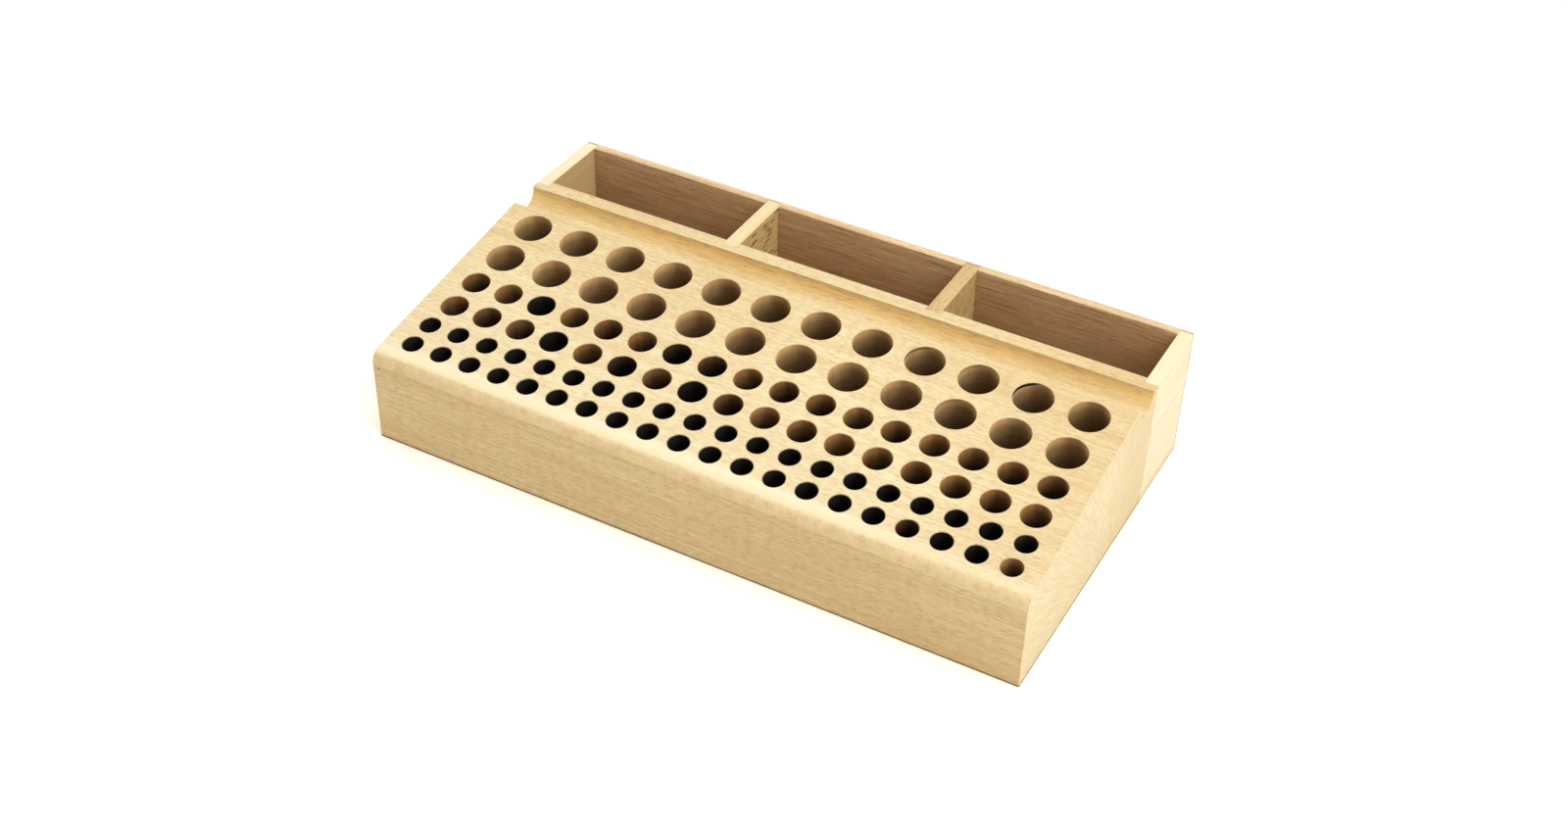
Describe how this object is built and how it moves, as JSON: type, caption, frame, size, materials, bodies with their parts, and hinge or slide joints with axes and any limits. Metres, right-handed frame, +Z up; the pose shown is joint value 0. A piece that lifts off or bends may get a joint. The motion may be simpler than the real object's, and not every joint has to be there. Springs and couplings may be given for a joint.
{
  "type": "tool holder stand",
  "caption": "Wooden bench block with a sloping top of rows of blind round holes for standing tools, a pencil groove and a row of small open trays along the back.",
  "frame": {"origin": "centre of the underside, on the surface that the block stands on", "axes": "+X along the rows of holes to the right as seen from the front, +Y from the low front edge to the trays at the back, +Z up"},
  "size_m": [0.249, 0.14, 0.051],
  "materials": {
    "block": "plain sanded beech, unvarnished, matt",
    "end_caps": "plain sanded beech, unvarnished, matt",
    "dividers": "plain sanded beech, unvarnished, matt",
    "back_panel": "plain sanded beech, unvarnished, matt",
    "tray_floor": "plain sanded beech, unvarnished, matt"
  },
  "bodies": {
    "root": {"block_top": "block", "block_base": "block", "end_cap_left": "end_caps", "end_cap_right": "end_caps", "divider_left": "dividers", "divider_right": "dividers", "back_panel": "back_panel", "tray_floor": "tray_floor"}
  },
  "joints": []
}
